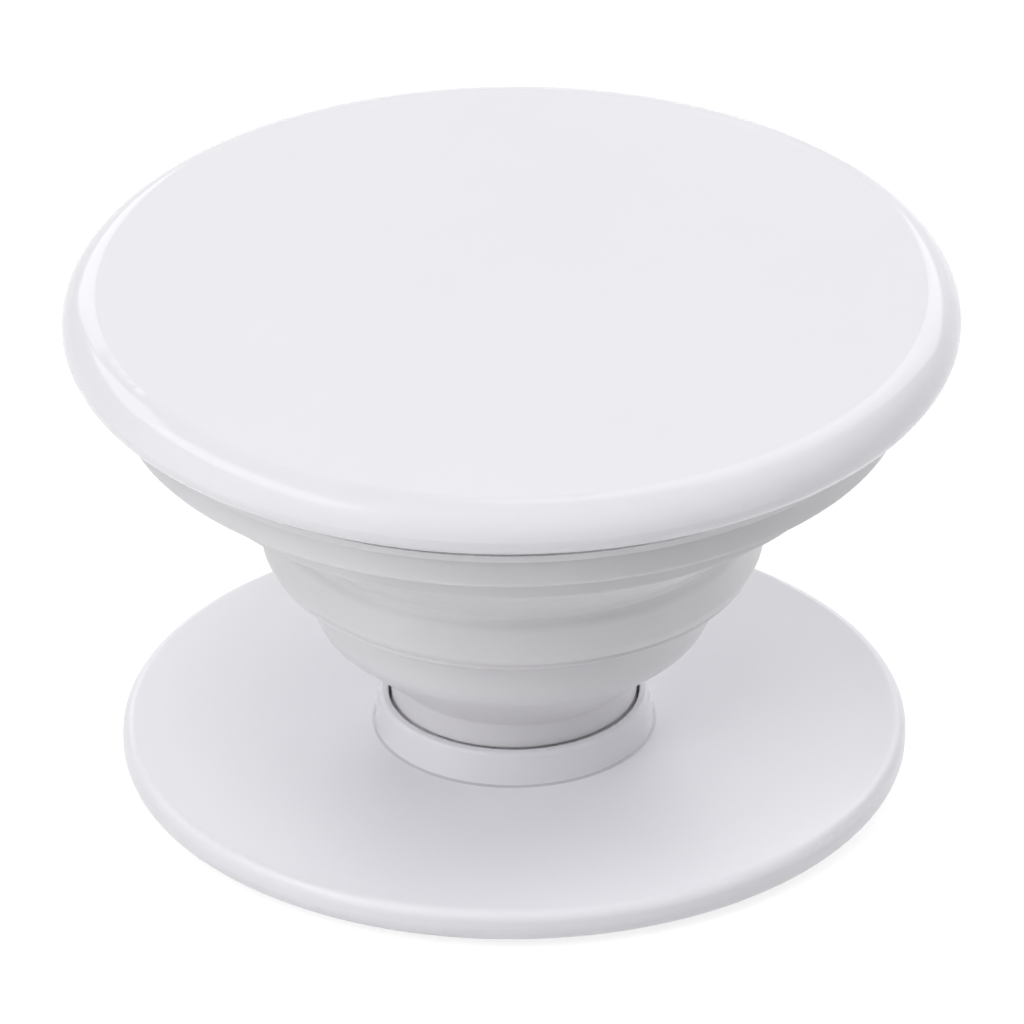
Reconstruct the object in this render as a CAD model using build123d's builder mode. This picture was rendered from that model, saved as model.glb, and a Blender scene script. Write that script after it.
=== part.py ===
"""Collapsible phone grip: a cap on a folding bellows that swivels in the collar of a stick-on base plate.

Millimetres. The origin is the centre of the face that sticks to the phone, and +Z points out of the phone
along the common axis. The grip is modelled pulled out, its state at rest.
"""

import os
from math import hypot

from build123d import *

# Cap
CAP_DIAMETER = 40.0
CAP_HEIGHT = 2.45  # over the rounded rim
RIM_CROWN = 1.5  # radius over the rim's top; its underside takes what is left
CAP_FACE = 1.5  # thickness of the flat face inside the rim
SKIRT_WALL = 1.0  # ring under the face that the bellows is pushed over
SKIRT_DROP = 1.0  # how far that ring reaches below the rim
SKIRT_LEAD = 0.2  # lead-in on its lower edge
SEAT_DEPTH = 0.9  # how far the bellows reaches up into the cap
BEAD_RADIUS = 0.25  # snap bead of the bellows in the skirt
BEAD_DROP = 0.4  # bead below the rim's underside

# Base plate
BASE_INSET = 2.5  # cap's edge past the plate's edge, so the upper ring folds down onto the plate
PLATE_THICKNESS = 1.65
PLATE_TOP_ROUNDING = 0.5
PLATE_UNDER_ROUNDING = 0.85
COLLAR_HEIGHT = 1.6
COLLAR_BORE = 11.2
COLLAR_WALL = 0.65  # at the foot
COLLAR_DRAFT = 0.2  # how much narrower the collar is at its top
COLLAR_TOP_ROUNDING = 0.2
COLLAR_LIP_ROUNDING = 0.12  # at the bore's mouth
COLLAR_FOOT_FILLET = 0.12

# Adhesive pad
PAD_MARGIN = 1.3  # from the pad's edge to the plate's edge
PAD_THICKNESS = 0.8
PAD_PROUD = 0.3  # how far the pad stands out of the plate's underside

# Snap post and swivel hub
POST_DIAMETER = 4.8
POST_CATCH = 0.45  # how far the barbs reach over the hub
BARB_HEIGHT = 1.0
BARB_LAND = 0.3  # upright edge of a barb, below its lead-in
POST_CORE = 2.0  # hollow down the middle of the post
POST_SLOT = 0.8
POST_FINGERS = 4
HUB_HEIGHT = 2.0
HUB_FLANGE = 0.5  # how far the flange at the hub's foot grips into the neck
HUB_FLANGE_HEIGHT = 0.6

# Bellows, radially from the cap's edge inwards
CAP_OVERHANG = 2.65  # cap edge past the upper ring
FOLD_STEP = 2.25  # upper ring to fold ring
MIDDLE_STEP = 4.05  # fold ring to middle ring
LOWER_STEP = 2.1  # middle ring to lower ring
FOOT_STEP = 0.85  # how far the middle ring draws in at its foot
CREASE_DEPTH = 0.55  # the deep fold above the middle ring
RING_DRAFT = 0.1  # how much each ring wall opens towards its top
FLANGE_WIDTH = 0.8  # flange at the top, past the upper ring

# Bellows, upwards from the collar
NECK_SHOWN = 1.15
LOWER_WEB_RISE = 3.05
LOWER_RING_HEIGHT = 2.2
MIDDLE_WEB_RISE = 0.35
FOOT_RISE = 1.0
MIDDLE_RING_HEIGHT = 1.5  # above its foot
CREASE_RISE = 0.45
FOLD_WEB_RISE = 3.5
FOLD_RING_HEIGHT = 1.1
UPPER_WEB_RISE = 0.75
UPPER_RING_HEIGHT = 1.9
FLANGE_SHOWN = 0.8  # the part below the cap

# Bellows walls and roundings
NECK_WALL = 1.0
RING_WALL = 0.9
WEB_WALL = 0.6  # the slanted webs, which do the folding
FOLD_ROUNDING = 0.3
RING_ROUNDING = 0.55
LOWER_RING_ROUNDING = 1.5

# Clearances
COLLAR_GAP = 0.18  # neck in collar
SWIVEL_CLEARANCE = 0.12  # hub on post
THRUST_CLEARANCE = 0.05  # hub between the plate and the barbs
SEAT_CLEARANCE = 0.05  # bellows in the cap and over the hub, pad in the plate

# Levels that follow, from the phone outwards
PLATE_LOW = PAD_PROUD
PLATE_TOP = PLATE_LOW + PLATE_THICKNESS
COLLAR_TOP = PLATE_TOP + COLLAR_HEIGHT
HUB_LOW = PLATE_TOP + THRUST_CLEARANCE
HUB_TOP = HUB_LOW + HUB_HEIGHT
BARB_LOW = HUB_TOP + THRUST_CLEARANCE
BARB_TOP = BARB_LOW + BARB_HEIGHT
NECK_LOW = HUB_LOW
NECK_TOP = COLLAR_TOP + NECK_SHOWN
LOWER_RING_LOW = NECK_TOP + LOWER_WEB_RISE
LOWER_RING_TOP = LOWER_RING_LOW + LOWER_RING_HEIGHT
FOOT_LOW = LOWER_RING_TOP + MIDDLE_WEB_RISE
MIDDLE_RING_LOW = FOOT_LOW + FOOT_RISE
MIDDLE_RING_TOP = MIDDLE_RING_LOW + MIDDLE_RING_HEIGHT
CREASE_LEVEL = MIDDLE_RING_TOP + CREASE_RISE
FOLD_RING_LOW = CREASE_LEVEL + FOLD_WEB_RISE
FOLD_RING_TOP = FOLD_RING_LOW + FOLD_RING_HEIGHT
UPPER_RING_LOW = FOLD_RING_TOP + UPPER_WEB_RISE
FLANGE_LOW = UPPER_RING_LOW + UPPER_RING_HEIGHT
CAP_LOW = FLANGE_LOW + FLANGE_SHOWN
CAP_TOP = CAP_LOW + CAP_HEIGHT
FACE_UNDERSIDE = CAP_TOP - CAP_FACE
BELLOWS_TOP = CAP_LOW + SEAT_DEPTH
SEAT_CEILING = BELLOWS_TOP + SEAT_CLEARANCE
SKIRT_LOW = CAP_LOW - SKIRT_DROP
BEAD_LEVEL = CAP_LOW - BEAD_DROP

# Radii that follow
CAP_RADIUS = CAP_DIAMETER / 2
RIM_UNDERSIDE = CAP_HEIGHT - RIM_CROWN
UPPER_RING_RADIUS = CAP_RADIUS - CAP_OVERHANG
FLANGE_RADIUS = UPPER_RING_RADIUS + FLANGE_WIDTH
FOLD_RING_RADIUS = UPPER_RING_RADIUS - FOLD_STEP
MIDDLE_RING_RADIUS = FOLD_RING_RADIUS - MIDDLE_STEP
FOOT_RADIUS = MIDDLE_RING_RADIUS - FOOT_STEP
CREASE_RADIUS = MIDDLE_RING_RADIUS - CREASE_DEPTH
LOWER_RING_RADIUS = MIDDLE_RING_RADIUS - LOWER_STEP
BORE_RADIUS = COLLAR_BORE / 2
COLLAR_FOOT_RADIUS = BORE_RADIUS + COLLAR_WALL
COLLAR_TOP_RADIUS = COLLAR_FOOT_RADIUS - COLLAR_DRAFT
NECK_RADIUS = BORE_RADIUS - COLLAR_GAP
HUB_RADIUS = NECK_RADIUS - NECK_WALL - SEAT_CLEARANCE
POST_RADIUS = POST_DIAMETER / 2
BARB_RADIUS = POST_RADIUS + POST_CATCH
BASE_RADIUS = CAP_RADIUS - BASE_INSET
PAD_RADIUS = BASE_RADIUS - PAD_MARGIN
SEAT_OUTER = FLANGE_RADIUS + SEAT_CLEARANCE
BEAD_CENTRE = UPPER_RING_RADIUS - RING_WALL
SEAT_INNER = BEAD_CENTRE - SEAT_CLEARANCE


def inner_line(points, walls):
    """Points of the inner surface, each stretch of the outer line moved inwards by its own wall.

    points runs upwards along the outer surface as (radius, height), and walls has one value per stretch.
    """
    moved = []
    for (r0, z0), (r1, z1), wall in zip(points, points[1:], walls):
        length = hypot(r1 - r0, z1 - z0)
        step_r = -(z1 - z0) / length * wall
        step_z = (r1 - r0) / length * wall
        moved.append(((r0 + step_r, z0 + step_z), (r1 + step_r, z1 + step_z)))
    inner = [moved[0][0]]
    for ((r0, z0), (r1, z1)), ((r2, z2), (r3, z3)) in zip(moved, moved[1:]):
        cross = (r1 - r0) * (z3 - z2) - (z1 - z0) * (r3 - r2)
        along = ((r2 - r0) * (z3 - z2) - (z2 - z0) * (r3 - r2)) / cross
        inner.append((r0 + along * (r1 - r0), z0 + along * (z1 - z0)))
    inner.append(moved[-1][1])
    return inner


# Bellows: corners of the outer surface from the neck up, the rounding at each, and the wall after each
BELLOWS_OUTLINE = [
    ((NECK_RADIUS, NECK_LOW), None, NECK_WALL),
    ((NECK_RADIUS, NECK_TOP), FOLD_ROUNDING, WEB_WALL),
    ((LOWER_RING_RADIUS, LOWER_RING_LOW), LOWER_RING_ROUNDING, RING_WALL),
    ((LOWER_RING_RADIUS + RING_DRAFT, LOWER_RING_TOP), FOLD_ROUNDING, WEB_WALL),
    ((FOOT_RADIUS, FOOT_LOW), FOLD_ROUNDING, RING_WALL),
    ((MIDDLE_RING_RADIUS, MIDDLE_RING_LOW), RING_ROUNDING, RING_WALL),
    ((MIDDLE_RING_RADIUS + RING_DRAFT, MIDDLE_RING_TOP), RING_ROUNDING, WEB_WALL),
    ((CREASE_RADIUS, CREASE_LEVEL), FOLD_ROUNDING, WEB_WALL),
    ((FOLD_RING_RADIUS, FOLD_RING_LOW), FOLD_ROUNDING, RING_WALL),
    ((FOLD_RING_RADIUS + RING_DRAFT, FOLD_RING_TOP), FOLD_ROUNDING, WEB_WALL),
    ((UPPER_RING_RADIUS, UPPER_RING_LOW), FOLD_ROUNDING, RING_WALL),
    ((UPPER_RING_RADIUS + RING_DRAFT, BELLOWS_TOP), None, None),
]


def circles(part, radius, height):
    """The round edges of a part that have this radius and lie at this height."""
    tolerance = 1e-4
    round_edges = part.edges().filter_by(GeomType.CIRCLE)
    same_radius = round_edges.filter_by(lambda edge: abs(edge.radius - radius) < tolerance)
    return same_radius.filter_by(lambda edge: abs(edge.arc_center.Z - height) < tolerance)


# Cap: flat face, rounded rim, and a skirt beside the groove that takes the bellows
with BuildPart() as cap:
    with BuildSketch(Plane.XZ):
        with BuildLine():
            crown = TangentArc(
                (CAP_RADIUS - RIM_CROWN, CAP_TOP),
                (CAP_RADIUS, CAP_TOP - RIM_CROWN),
                tangent=(1, 0),
            )
            underside = TangentArc(crown @ 1, (CAP_RADIUS - RIM_UNDERSIDE, CAP_LOW), tangent=(0, -1))
            Polyline(
                underside @ 1,
                (SEAT_OUTER, CAP_LOW),
                (SEAT_OUTER, SEAT_CEILING),
                (SEAT_INNER, SEAT_CEILING),
                (SEAT_INNER, SKIRT_LOW + SKIRT_LEAD),
                (SEAT_INNER - SKIRT_LEAD, SKIRT_LOW),
                (SEAT_INNER - SKIRT_WALL, SKIRT_LOW),
                (SEAT_INNER - SKIRT_WALL, FACE_UNDERSIDE),
                (0, FACE_UNDERSIDE),
                (0, CAP_TOP),
                crown @ 0,
            )
        make_face()
    revolve(axis=Axis.Z)
    with BuildSketch(Plane.XZ):
        with Locations((BEAD_CENTRE, BEAD_LEVEL)):
            Circle(BEAD_RADIUS + SEAT_CLEARANCE)
    revolve(axis=Axis.Z, mode=Mode.SUBTRACT)
cap.part.label = "cap"

# Bellows: one thin wall from the neck up to a flange in the cap's groove, with a snap bead on its inside
with BuildPart() as bellows:
    outer_points = [point for point, rounding, wall in BELLOWS_OUTLINE]
    roundings = [rounding for point, rounding, wall in BELLOWS_OUTLINE[1:-1]]
    inner_points = inner_line(outer_points, [wall for point, rounding, wall in BELLOWS_OUTLINE[:-1]])
    with BuildSketch(Plane.XZ):
        with BuildLine():
            outside = FilletPolyline(*outer_points, radius=roundings)
            inside = FilletPolyline(*inner_points, radius=roundings)
            Line(outside @ 0, inside @ 0)
            Line(outside @ 1, inside @ 1)
        make_face()
    revolve(axis=Axis.Z)
    with BuildSketch(Plane.XZ):
        with Locations((UPPER_RING_RADIUS, FLANGE_LOW)):
            Rectangle(FLANGE_WIDTH, BELLOWS_TOP - FLANGE_LOW, align=(Align.MIN, Align.MIN))
    revolve(axis=Axis.Z)
    fillet(circles(bellows.part, FLANGE_RADIUS, FLANGE_LOW), FOLD_ROUNDING)
    with BuildSketch(Plane.XZ):
        with Locations((BEAD_CENTRE, BEAD_LEVEL)):
            Circle(BEAD_RADIUS)
    revolve(axis=Axis.Z)
    with BuildSketch(Plane.XY.offset(NECK_LOW)):
        Circle(HUB_RADIUS + HUB_FLANGE + SEAT_CLEARANCE)
    extrude(amount=HUB_FLANGE_HEIGHT + SEAT_CLEARANCE, mode=Mode.SUBTRACT)
bellows.part.label = "bellows"

# Swivel hub: a flanged bush that fills the neck and turns on the snap post
with BuildPart() as swivel_hub:
    with BuildSketch(Plane.XY.offset(HUB_LOW)):
        Circle(HUB_RADIUS + HUB_FLANGE)
    extrude(amount=HUB_FLANGE_HEIGHT)
    with BuildSketch(Plane.XY.offset(HUB_LOW)):
        Circle(HUB_RADIUS)
    extrude(amount=HUB_HEIGHT)
    Hole(POST_RADIUS + SWIVEL_CLEARANCE)
swivel_hub.part.label = "swivel_hub"

# Base plate: rounded disc with a pad recess below, and a collar and a split snap post on top
with BuildPart() as base_plate:
    with BuildSketch(Plane.XY.offset(PLATE_LOW)):
        Circle(BASE_RADIUS)
    extrude(amount=PLATE_THICKNESS)
    fillet(circles(base_plate.part, BASE_RADIUS, PLATE_TOP), PLATE_TOP_ROUNDING)
    fillet(circles(base_plate.part, BASE_RADIUS, PLATE_LOW), PLATE_UNDER_ROUNDING)
    with BuildSketch(Plane.XY.offset(PLATE_LOW)):
        Circle(PAD_RADIUS + SEAT_CLEARANCE)
    extrude(amount=PAD_THICKNESS - PAD_PROUD, mode=Mode.SUBTRACT)
    with BuildSketch(Plane.XZ):
        with BuildLine():
            Polyline(
                (BORE_RADIUS, PLATE_TOP),
                (COLLAR_FOOT_RADIUS, PLATE_TOP),
                (COLLAR_TOP_RADIUS, COLLAR_TOP),
                (BORE_RADIUS, COLLAR_TOP),
                close=True,
            )
        make_face()
        with BuildLine():
            Polyline(
                (POST_CORE / 2, PLATE_TOP),
                (POST_RADIUS, PLATE_TOP),
                (POST_RADIUS, BARB_LOW),
                (BARB_RADIUS, BARB_LOW),
                (BARB_RADIUS, BARB_LOW + BARB_LAND),
                (POST_RADIUS - POST_CATCH, BARB_TOP),
                (POST_CORE / 2, BARB_TOP),
                close=True,
            )
        make_face()
    revolve(axis=Axis.Z)
    with Locations((0, 0, PLATE_TOP)):
        with PolarLocations(BARB_RADIUS / 2, POST_FINGERS):
            Box(
                BARB_RADIUS,
                POST_SLOT,
                BARB_TOP - PLATE_TOP,
                align=(Align.CENTER, Align.CENTER, Align.MIN),
                mode=Mode.SUBTRACT,
            )
    fillet(circles(base_plate.part, COLLAR_FOOT_RADIUS, PLATE_TOP), COLLAR_FOOT_FILLET)
    fillet(circles(base_plate.part, COLLAR_TOP_RADIUS, COLLAR_TOP), COLLAR_TOP_ROUNDING)
    fillet(circles(base_plate.part, BORE_RADIUS, COLLAR_TOP), COLLAR_LIP_ROUNDING)
base_plate.part.label = "base_plate"

# Adhesive pad: a plain disc in the plate's recess
with BuildPart() as adhesive_pad:
    Cylinder(PAD_RADIUS, PAD_THICKNESS, align=(Align.CENTER, Align.CENTER, Align.MIN))
adhesive_pad.part.label = "adhesive_pad"

os.makedirs("parts", exist_ok=True)
export_step(cap.part, "parts/cap.step")
export_step(bellows.part, "parts/bellows.step")
export_step(swivel_hub.part, "parts/swivel_hub.step")
export_step(base_plate.part, "parts/base_plate.step")
export_step(adhesive_pad.part, "parts/adhesive_pad.step")
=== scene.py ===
"""Looks of the collapsible phone grip: white gloss plastic, a satin moulded bellows and soft studio light."""

from math import cos, hypot, pi, radians, sin

import bmesh
import bpy
from mathutils import Matrix, Vector


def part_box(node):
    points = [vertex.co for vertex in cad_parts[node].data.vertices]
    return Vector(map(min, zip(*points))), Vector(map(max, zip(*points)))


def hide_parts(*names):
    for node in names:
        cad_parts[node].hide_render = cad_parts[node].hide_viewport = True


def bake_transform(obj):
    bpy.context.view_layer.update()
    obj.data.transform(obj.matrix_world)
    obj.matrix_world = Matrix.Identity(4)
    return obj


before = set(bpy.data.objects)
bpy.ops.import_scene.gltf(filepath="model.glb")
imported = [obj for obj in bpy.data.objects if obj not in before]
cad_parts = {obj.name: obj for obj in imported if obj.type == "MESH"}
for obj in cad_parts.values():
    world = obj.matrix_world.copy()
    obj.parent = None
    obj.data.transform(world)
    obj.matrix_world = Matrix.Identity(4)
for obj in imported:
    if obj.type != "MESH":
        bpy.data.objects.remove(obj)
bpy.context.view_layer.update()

MM = 0.001

# Camera, set to the photograph's view of the pulled-out grip
VIEW_CENTRE = Vector((-0.04, 0, 12.49)) * MM
VIEW_DISTANCE = 1.5
VIEW_ELEVATION = radians(29.6)
VIEW_ROLL = radians(-0.368)
SENSOR = 36.0  # millimetres
LENS = 1183.4  # millimetres

# Bellows mesh
SEGMENTS = 192  # around the axis
LONGEST_STEP = 0.25 * MM  # along the section
WELD = 0.001 * MM
SHARP_ANGLE = radians(35)

# Soft walls of the bellows: a ring's lower and upper edge, and how far it swells, or draws in, at each
SWELLS = (
    (3.2 * MM, 4.9 * MM, 0.08 * MM, 0.0),
    (10.62 * MM, 12.9 * MM, 0.36 * MM, -0.30 * MM),
    (16.75 * MM, 17.6 * MM, 0.20 * MM, -0.10 * MM),
    (18.65 * MM, 19.9 * MM, 0.20 * MM, -0.30 * MM),
)
FADE = 0.35 * MM  # height past a ring's edge in which its swelling ends
WAVES = ((2, 0.10 * MM, 0.6), (5, 0.04 * MM, 2.0))  # uneven folds: count around, height, phase

# Shadow line under the cap: a lip on the foot of the bellows' flange, below a groove
FLANGE_FOOT = 0.9 * MM  # flange past the ring that carries it
FLANGE_ROUNDING = 0.31 * MM
LIP_DROP = 0.3 * MM  # below the flange's underside
LIP_HEIGHT = 0.34 * MM
GROOVE_HEIGHT = 0.2 * MM
GROOVE_DEPTH = 0.3 * MM

# Creases in the outer wall, in the neck's running gap and above the middle ring's lower edge:
# level, half the height, depth and the radius outside which they lie
CREASES = (
    (3.33 * MM, 0.22 * MM, 0.20 * MM, 5.0 * MM),
    (10.85 * MM, 0.15 * MM, 0.14 * MM, 9.0 * MM),
)

# Whites of the plastic
CAP_WHITE = 0.785
BASE_WHITE = 0.795
COOL_TINT = (0.0, -0.005, 0.035)  # by which red, green and blue differ from the white
FLOW_TINT = 0.02  # by which the flow marks are lighter

# Finishes: roughness of the polished and satin areas, and how they meet
RIM_POLISH = 0.09
TOP_SATIN = 0.18
COLLAR_POLISH = 0.08
PLATE_SATIN = 0.3
FINISH_FADE = 0.1 * MM  # how far from an edge one finish fades into the next
COLLAR_EDGE = 6.29 * MM  # radius out to which the base is polished
FOOT_SHADE_HALF = 0.05 * MM  # half the width of the painted shade line in the corner there
# painted shade: the tint that darkens the base along the corner at the collar's foot
FOOT_SHADE_TINT = (0.72, 0.71, 0.72)
NOISE_SPAN = (0.3, 0.7)  # between which the values of a noise mostly lie

# Studio
FLOOR_RADIUS = 0.6
FLOOR_SIDES = 64
FLOOR_BOUNCE = 0.8  # share of the light that the floor throws back onto the grip
FLOOR_GLOW = 0.8  # what the camera sees of the floor in full shadow
FLOOR_SHADE = 0.35  # share of the light on the floor that the camera sees besides, so that shadows show

# Softboxes: azimuth from the camera's side towards its right, elevation, width, height, power in watts.
# Fills light the surfaces and strips only show as highlights in them.
SOFTBOX_DISTANCE = 0.5
FILLS = {
    "fill_front_left": (-45, 43, 0.30, 0.68, 2.64),
    "fill_right": (90, 38, 0.30, 0.75, 1.55),
    "fill_back_low": (174, 10, 0.50, 0.30, 1.75),
    "fill_back_high": (174, 40, 0.50, 0.30, 0.50),
}
STRIPS = {
    "strip_back": (-161, 24, 0.18, 0.17, 0.15),
    "strip_back_left": (-129, 36, 0.26, 0.16, 0.30),
    "strip_left": (-79, 45, 0.50, 0.18, 0.85),
    "strip_back_right": (153, 44, 0.30, 0.44, 0.72),
}


def section(node):
    """Outline of a turned CAD node in the half plane x > 0, as a closed loop of (radius, height)."""
    mesh = bmesh.new()
    mesh.from_mesh(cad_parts[node].data)
    bmesh.ops.remove_doubles(mesh, verts=mesh.verts, dist=WELD)
    on_plane = {v for v in mesh.verts if abs(v.co.y) < WELD and v.co.x > 0}
    first = min(on_plane, key=lambda v: (v.co.z, v.co.x))
    loop = [first]
    last = None
    while True:
        here = loop[-1]
        ways = [e.other_vert(here) for e in here.link_edges if e.other_vert(here) in on_plane]
        onward = [v for v in ways if v is not last]
        if onward[0] is first and len(loop) > 2:
            break
        last = here
        loop.append(onward[0])
    outline = [(v.co.x, v.co.z) for v in loop]
    mesh.free()
    return outline


def line_flange(outline):
    """The outline of the bellows with a lip and a groove in place of the rounded foot of its flange."""
    reach = max(r for r, z in outline)
    face_low = min(z for r, z in outline if r > reach - WELD)
    foot = [p for p in outline if p[0] > reach - FLANGE_FOOT and -FLANGE_ROUNDING < p[1] - face_low < WELD]
    ring = min(foot)
    low = ring[1] - LIP_DROP
    top = low + LIP_HEIGHT
    ceiling = top + GROOVE_HEIGHT
    inside = reach - GROOVE_DEPTH
    corners = [(ring[0], low), (reach, low), (reach, top), (inside, top), (inside, ceiling), (reach, ceiling)]
    if foot[0] != ring:
        corners.reverse()
    at = outline.index(foot[0])
    return outline[:at] + corners + outline[at + len(foot) :]


def cut(outline, height):
    """The closed outline with points added where it crosses a height."""
    points = []
    for (r0, z0), (r1, z1) in zip(outline, outline[1:] + outline[:1]):
        points.append((r0, z0))
        if (z0 - height) * (z1 - height) < 0:
            points.append((r0 + (height - z0) / (z1 - z0) * (r1 - r0), height))
    return points


def resample(outline):
    """The same closed outline with its long straight stretches divided."""
    points = []
    for (r0, z0), (r1, z1) in zip(outline, outline[1:] + outline[:1]):
        steps = max(1, round(hypot(r1 - r0, z1 - z0) / LONGEST_STEP))
        for i in range(steps):
            share = i / steps
            points.append((r0 + share * (r1 - r0), z0 + share * (z1 - z0)))
    return points


def swell(height):
    """How far the soft wall stands out at a height."""
    for low, high, at_low, at_high in SWELLS:
        if low - FADE < height < high + FADE:
            share = min(max((height - low) / (high - low), 0), 1)
            past = max(low - height, height - high, 0)
            return (at_low + share * (at_high - at_low)) * (1 - past / FADE)
    return 0.0


def crease(radius, height):
    """How far a crease cuts into the wall at a point of the outline."""
    for level, half, depth, inside in CREASES:
        if radius > inside and abs(height - level) < half:
            return depth * (1 - abs(height - level) / half)
    return 0.0


def soften(outline):
    """The outline of the bellows with its swollen rings, the creases and the lip under the cap."""
    points = line_flange(outline)
    for level, half, *_ in CREASES:
        for height in (level - half, level, level + half):
            points = cut(points, height)
    return [(r + swell(z) - crease(r, z), z) for r, z in resample(points)]


def wave(angle, height, low, high):
    """How much higher a fold lies at an angle: nothing at the neck and the cap, most between them."""
    share = min(max((height - low) / (high - low), 0), 1)
    return sin(pi * share) ** 2 * sum(rise * sin(count * angle + phase) for count, rise, phase in WAVES)


def lathe(name, outline, low, high):
    """A closed outline turned about the z axis, as a mesh object with uneven folds between two heights."""
    verts = []
    for i in range(SEGMENTS):
        angle = 2 * pi * i / SEGMENTS
        verts += [(r * cos(angle), r * sin(angle), z + wave(angle, z, low, high)) for r, z in outline]
    count = len(outline)
    faces = []
    for i in range(SEGMENTS):
        here = i * count
        beyond = (i + 1) % SEGMENTS * count
        for j in range(count):
            k = (j + 1) % count
            faces.append((here + j, beyond + j, beyond + k, here + k))
    mesh = bpy.data.meshes.new(name)
    mesh.from_pydata(verts, [], faces)
    turned = bmesh.new()
    turned.from_mesh(mesh)
    bmesh.ops.recalc_face_normals(turned, faces=turned.faces)
    turned.to_mesh(mesh)
    turned.free()
    mesh.shade_smooth()
    mesh.set_sharp_from_angle(angle=SHARP_ANGLE)
    piece = bpy.data.objects.new(name, mesh)
    bpy.context.scene.collection.objects.link(piece)
    return piece


class Shader:
    """A material and its nodes: one Principled shader in object coordinates, in metres."""

    def __init__(self, name):
        self.material = bpy.data.materials.new(name)
        self.material.use_nodes = True
        self.nodes = self.material.node_tree.nodes
        self.links = self.material.node_tree.links
        self.principled = self.nodes["Principled BSDF"]
        self.place = self.nodes.new("ShaderNodeTexCoord").outputs["Object"]

    def set(self, **values):
        """Fixed values on the shader's own sockets, with _ for a space."""
        for name, value in values.items():
            self.principled.inputs[name.replace("_", " ")].default_value = value

    def noise(self, size, detail, roughness=0.5):
        """Noise whose features are about size metres across."""
        node = self.nodes.new("ShaderNodeTexNoise")
        node.inputs["Scale"].default_value = 1 / size
        node.inputs["Detail"].default_value = detail
        node.inputs["Roughness"].default_value = roughness
        self.links.new(self.place, node.inputs["Vector"])
        return node.outputs["Fac"]

    def radius(self):
        """Distance from the z axis."""
        flat = self.nodes.new("ShaderNodeVectorMath")
        flat.operation = "MULTIPLY"
        flat.inputs[1].default_value = (1, 1, 0)
        self.links.new(self.place, flat.inputs[0])
        length = self.nodes.new("ShaderNodeVectorMath")
        length.operation = "LENGTH"
        self.links.new(flat.outputs["Vector"], length.inputs[0])
        return length.outputs["Value"]

    def colour(self, pattern, dark, light):
        """Base colour from dark to light by a pattern."""
        ramp = self.nodes.new("ShaderNodeValToRGB")
        for element, position, tint in zip(ramp.color_ramp.elements, NOISE_SPAN, (dark, light)):
            element.position = position
            element.color = (*tint, 1)
        self.links.new(pattern, ramp.inputs["Fac"])
        self.links.new(ramp.outputs["Color"], self.principled.inputs["Base Color"])

    def line(self, pattern, value, half_width, tint):
        """Base colour times a tint where a pattern lies within half_width of a value: a painted shade line.
        """
        near = self.nodes.new("ShaderNodeMath")
        near.operation = "COMPARE"
        near.inputs[1].default_value = value
        near.inputs[2].default_value = half_width
        self.links.new(pattern, near.inputs[0])
        mix = self.nodes.new("ShaderNodeMixRGB")
        mix.blend_type = "MULTIPLY"
        mix.inputs["Color2"].default_value = (*tint, 1)
        base = self.principled.inputs["Base Color"]
        self.links.new(near.outputs["Value"], mix.inputs["Fac"])
        self.links.new(base.links[0].from_socket, mix.inputs["Color1"])
        self.links.new(mix.outputs["Color"], base)

    def roughness(self, pattern, low, high, span=NOISE_SPAN):
        """Roughness from low to high as a pattern goes through a span of values."""
        node = self.nodes.new("ShaderNodeMapRange")
        node.inputs["From Min"].default_value = span[0]
        node.inputs["From Max"].default_value = span[1]
        node.inputs["To Min"].default_value = low
        node.inputs["To Max"].default_value = high
        self.links.new(pattern, node.inputs["Value"])
        self.links.new(node.outputs["Result"], self.principled.inputs["Roughness"])

    def bump(self, pattern, height):
        """Relief of this height in metres."""
        node = self.nodes.new("ShaderNodeBump")
        node.inputs["Strength"].default_value = 1.0
        node.inputs["Distance"].default_value = height
        self.links.new(pattern, node.inputs["Height"])
        self.links.new(node.outputs["Normal"], self.principled.inputs["Normal"])


def white_plastic(name, white):
    """White moulded plastic with a faint flow tint and faint orange peel, its gloss still to be set."""
    shader = Shader(name)
    shader.set(IOR=1.49, Specular_IOR_Level=0.3)
    dark = [white + shift for shift in COOL_TINT]
    light = [level + FLOW_TINT for level in dark]
    shader.colour(shader.noise(14 * MM, detail=3), dark, light)
    shader.bump(shader.noise(1.4 * MM, detail=1), height=0.0006 * MM)
    return shader


def cap_gloss():
    """The cap's finish: a satin top inside a polished rim."""
    shader = white_plastic("cap_gloss", CAP_WHITE)
    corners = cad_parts["cap"].data.vertices
    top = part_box("cap")[1].z
    edge = max(hypot(v.co.x, v.co.y) for v in corners if v.co.z > top - WELD)
    shader.roughness(shader.radius(), TOP_SATIN, RIM_POLISH, (edge - FINISH_FADE, edge + FINISH_FADE))
    return shader.material


def base_gloss():
    """The base's finish: a polished collar on a satin plate, with a painted shade line in the corner where
    they meet.
    """
    shader = white_plastic("base_gloss", BASE_WHITE)
    radius = shader.radius()
    # painted shade along the corner at the collar's foot
    shader.line(radius, COLLAR_EDGE, FOOT_SHADE_HALF, FOOT_SHADE_TINT)
    shader.roughness(radius, COLLAR_POLISH, PLATE_SATIN, (COLLAR_EDGE, COLLAR_EDGE + FINISH_FADE))
    return shader.material


def elastomer(name):
    """White thermoplastic elastomer: satin, with a fine moulded texture and soft tint."""
    shader = Shader(name)
    shader.set(Specular_IOR_Level=0.25)
    shader.colour(shader.noise(6 * MM, detail=3), dark=(0.72, 0.71, 0.73), light=(0.75, 0.74, 0.76))
    shader.roughness(shader.noise(2 * MM, detail=4), low=0.3, high=0.4)
    shader.bump(shader.noise(0.16 * MM, detail=2), height=0.004 * MM)
    return shader.material


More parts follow.
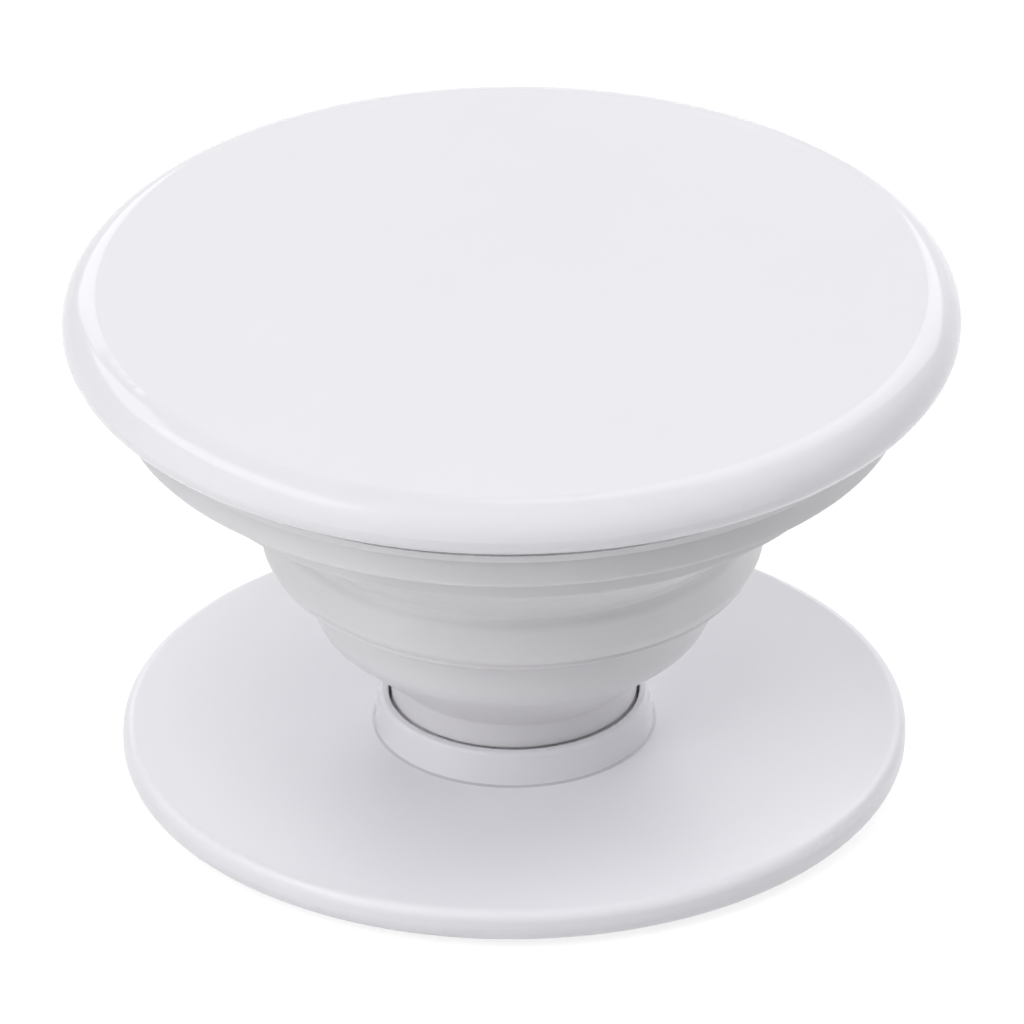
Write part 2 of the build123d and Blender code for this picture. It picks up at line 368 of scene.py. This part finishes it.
def matte_plastic(name):
    """Natural bearing plastic of the hub: milky, with a fine grain."""
    shader = Shader(name)
    shader.colour(shader.noise(2 * MM, detail=3), dark=(0.70, 0.70, 0.69), light=(0.76, 0.76, 0.75))
    shader.roughness(shader.noise(0.8 * MM, detail=3), low=0.42, high=0.58)
    shader.bump(shader.noise(0.25 * MM, detail=2), height=0.004 * MM)
    return shader.material


def adhesive(name):
    """Soft reusable adhesive: pale grey, slightly wet, with a fine open grain."""
    shader = Shader(name)
    grain = shader.noise(0.9 * MM, detail=5, roughness=0.65)
    shader.colour(grain, dark=(0.60, 0.61, 0.62), light=(0.70, 0.71, 0.72))
    shader.roughness(shader.noise(1.2 * MM, detail=4), low=0.25, high=0.5)
    shader.bump(shader.noise(0.5 * MM, detail=4), height=0.02 * MM)
    return shader.material


def seen_rays(nodes, links):
    """1 for camera, glossy and transmission rays, which see the white background, and 0 for the others."""
    path = nodes.new("ShaderNodeLightPath")
    either = nodes.new("ShaderNodeMath")
    either.operation = "MAXIMUM"
    links.new(path.outputs["Is Camera Ray"], either.inputs[0])
    links.new(path.outputs["Is Glossy Ray"], either.inputs[1])
    every = nodes.new("ShaderNodeMath")
    every.operation = "MAXIMUM"
    links.new(either.outputs["Value"], every.inputs[0])
    links.new(path.outputs["Is Transmission Ray"], every.inputs[1])
    return every.outputs["Value"]


def light_world():
    """White to the eye and in reflections. The lamps alone light the surfaces."""
    world = bpy.data.worlds.new("studio")
    world.use_nodes = True
    nodes = world.node_tree.nodes
    links = world.node_tree.links
    dark = nodes["Background"]
    dark.inputs["Strength"].default_value = 0.0
    white = nodes.new("ShaderNodeBackground")
    white.inputs["Color"].default_value = (1, 1, 1, 1)
    white.inputs["Strength"].default_value = 1.0
    mix = nodes.new("ShaderNodeMixShader")
    links.new(seen_rays(nodes, links), mix.inputs["Fac"])
    links.new(dark.outputs["Background"], mix.inputs[1])
    links.new(white.outputs["Background"], mix.inputs[2])
    links.new(mix.outputs["Shader"], nodes["World Output"].inputs["Surface"])
    bpy.context.scene.world = world


def lay_floor():
    """A pale round floor under the grip, white to the eye but for the grip's shadow."""
    mesh = bpy.data.meshes.new("floor")
    disc = bmesh.new()
    bmesh.ops.create_circle(disc, cap_ends=True, radius=FLOOR_RADIUS, segments=FLOOR_SIDES)
    disc.to_mesh(mesh)
    disc.free()
    floor = bpy.data.objects.new("floor", mesh)
    bpy.context.scene.collection.objects.link(floor)
    material = bpy.data.materials.new("pale_floor")
    material.use_nodes = True
    nodes = material.node_tree.nodes
    links = material.node_tree.links
    nodes.remove(nodes["Principled BSDF"])
    plain = nodes.new("ShaderNodeBsdfDiffuse")
    plain.inputs["Color"].default_value = (FLOOR_BOUNCE, FLOOR_BOUNCE, FLOOR_BOUNCE, 1)
    shaded = nodes.new("ShaderNodeBsdfDiffuse")
    shaded.inputs["Color"].default_value = (FLOOR_SHADE, FLOOR_SHADE, FLOOR_SHADE, 1)
    glow = nodes.new("ShaderNodeEmission")
    glow.inputs["Strength"].default_value = FLOOR_GLOW
    white = nodes.new("ShaderNodeAddShader")
    links.new(shaded.outputs["BSDF"], white.inputs[0])
    links.new(glow.outputs["Emission"], white.inputs[1])
    mix = nodes.new("ShaderNodeMixShader")
    links.new(seen_rays(nodes, links), mix.inputs["Fac"])
    links.new(plain.outputs["BSDF"], mix.inputs[1])
    links.new(white.outputs["Shader"], mix.inputs[2])
    links.new(mix.outputs["Shader"], nodes["Material Output"].inputs["Surface"])
    mesh.materials.append(material)


def hang_softbox(name, azimuth, elevation, width, height, power):
    """A soft area light that points at the middle of the grip."""
    lamp = bpy.data.lights.new(name, "AREA")
    lamp.shape = "RECTANGLE"
    lamp.size = width
    lamp.size_y = height
    lamp.energy = power
    softbox = bpy.data.objects.new(name, lamp)
    flat = cos(radians(elevation))
    direction = Vector((
        sin(radians(azimuth)) * flat,
        -cos(radians(azimuth)) * flat,
        sin(radians(elevation)),
    ))
    softbox.location = VIEW_CENTRE + direction * SOFTBOX_DISTANCE
    softbox.rotation_euler = direction.to_track_quat("Z", "Y").to_euler()
    softbox.visible_camera = False
    bpy.context.scene.collection.objects.link(softbox)
    return softbox


def place_camera():
    """The photograph's view, from in front and above."""
    lens = bpy.data.cameras.new("camera")
    lens.sensor_width = SENSOR
    lens.lens = LENS
    camera = bpy.data.objects.new("camera", lens)
    direction = Vector((0, -cos(VIEW_ELEVATION), sin(VIEW_ELEVATION)))
    camera.location = VIEW_CENTRE + direction * VIEW_DISTANCE
    turn = direction.to_track_quat("Z", "Y").to_matrix() @ Matrix.Rotation(VIEW_ROLL, 3, "Z")
    camera.rotation_euler = turn.to_euler()
    bpy.context.scene.collection.objects.link(camera)
    bpy.context.scene.camera = camera


def dress(node, material):
    """Gives a CAD node its finish."""
    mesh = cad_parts[node].data
    mesh.materials.clear()
    mesh.materials.append(material)


# Rigid pieces keep their CAD form
dress("cap", cap_gloss())
dress("base_plate", base_gloss())
dress("swivel_hub", matte_plastic("hub_matte"))
dress("adhesive_pad", adhesive("adhesive_grain"))

# Bellows: a soft turned mesh, with uneven folds between the hub's top and the cap's seat
hub_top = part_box("swivel_hub")[1].z
seat_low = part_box("cap")[0].z
bellows = lathe("bellows_skin", soften(section("bellows")), hub_top, seat_low)
bellows.data.materials.append(elastomer("bellows_satin"))
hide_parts("bellows")
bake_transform(bellows)

# Studio light, floor and camera
light_world()
lay_floor()
for name, values in FILLS.items():
    hang_softbox(name, *values).visible_glossy = False
for name, values in STRIPS.items():
    hang_softbox(name, *values).visible_diffuse = False
place_camera()
bpy.context.scene.view_settings.view_transform = "Standard"
